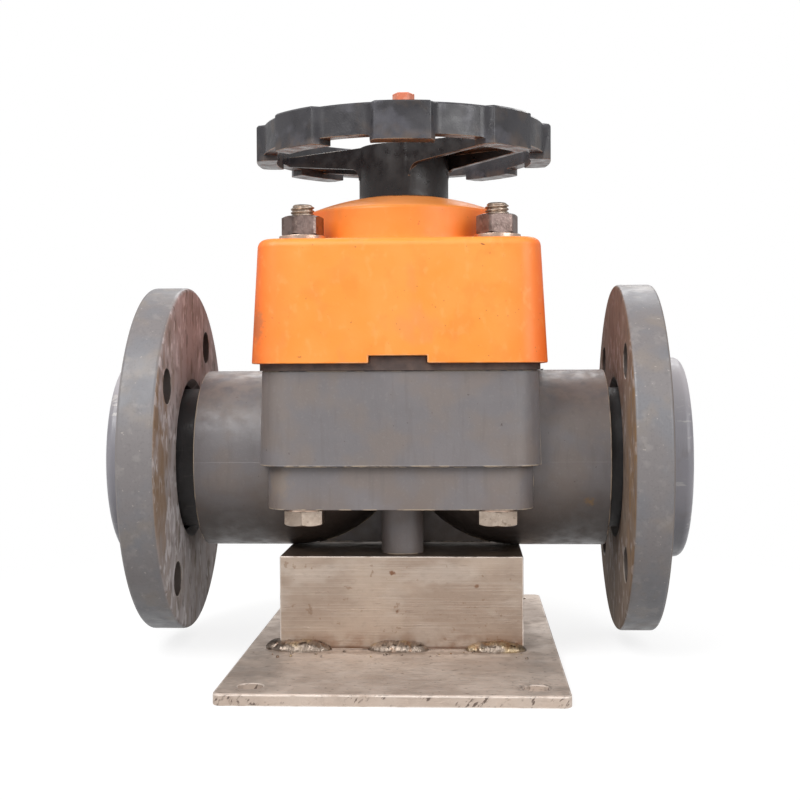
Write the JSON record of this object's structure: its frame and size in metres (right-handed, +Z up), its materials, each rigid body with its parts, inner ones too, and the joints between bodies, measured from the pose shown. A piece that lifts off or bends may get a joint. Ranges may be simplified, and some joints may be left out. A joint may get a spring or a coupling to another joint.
{
  "type": "diaphragm valve",
  "caption": "Manual weir-type plastic diaphragm valve with loose backing flanges, square orange bonnet and lobed handwheel, on a welded steel bracket.",
  "frame": {"origin": "underside of the base plate, on the stem's axis", "axes": "+X along the pipe line, +Z up the stem, the bonnet's notch and tab face -Y"},
  "size_m": [0.2987, 0.2665, 0.2973],
  "materials": {
    "stainless_steel": "rolled and brushed, mottled brown",
    "weld_metal": "bright weld with straw heat tint",
    "zinc_steel": "worn stainless hexagon heads",
    "dark_nut_steel": "dark oxidised nuts",
    "grey_pvc": "moulded grey, dusty",
    "flange_pvc": "turned grey, scuffed",
    "orange_plastic": "faded moulded orange",
    "indicator_plastic": "moulded orange red",
    "black_plastic": "moulded black, brown dust",
    "rubber": "moulded rubber",
    "brass": "turned",
    "spindle_steel": "turned",
    "cast_aluminium": "as cast",
    "bearing_plastic": "plain bearing washer"
  },
  "bodies": {
    "valve": {"base_plate": "stainless_steel", "bracket_channel": "stainless_steel", "weld_beads": "weld_metal", "bracket_screws": "zinc_steel", "bracket_washers": "zinc_steel", "mounting_inserts": "brass", "valve_body": "grey_pvc", "flange_adaptor_left": "grey_pvc", "flange_adaptor_right": "grey_pvc", "diaphragm": "rubber", "thrust_washer_upper": "bearing_plastic", "thrust_washer_lower": "bearing_plastic", "retaining_ring": "spindle_steel", "bush_seal": "rubber", "bonnet": "orange_plastic", "bonnet_bolts": "zinc_steel", "bonnet_nuts": "dark_nut_steel", "nut_washers": "zinc_steel", "head_washers": "zinc_steel"},
    "handwheel": {"handwheel": "black_plastic", "hub_cap": "black_plastic", "wheel_ring": "spindle_steel", "thread_bush": "brass"},
    "stem": {"stem": "spindle_steel", "position_indicator": "indicator_plastic", "compressor": "cast_aluminium", "compressor_pin": "spindle_steel", "diaphragm_stud": "spindle_steel"},
    "flange_left": {"backing_flange_left": "flange_pvc"},
    "flange_right": {"backing_flange_right": "flange_pvc"}
  },
  "joints": [
    {"name": "handwheel_turn", "type": "hinge", "parent": "valve", "child": "handwheel", "pos_m": [0, 0, 0.25], "axis": [0, 0, 1], "range_deg": [-1872, 0]},
    {"name": "stem_travel", "type": "slide", "parent": "valve", "child": "stem", "axis": [0, 0, 1], "range_m": [-0.026, 0], "deforming": ["diaphragm"]},
    {"name": "flange_left_spin", "type": "hinge", "parent": "valve", "child": "flange_left", "pos_m": [-0.1262, 0, 0.10055], "axis": [1, 0, 0], "continuous": true},
    {"name": "flange_right_spin", "type": "hinge", "parent": "valve", "child": "flange_right", "pos_m": [0.1225, 0, 0.10055], "axis": [1, 0, 0], "continuous": true}
  ],
  "couplings": [
    {"joint": "stem_travel", "follows": "handwheel_turn", "m_per_rad": 0.00079577}
  ]
}
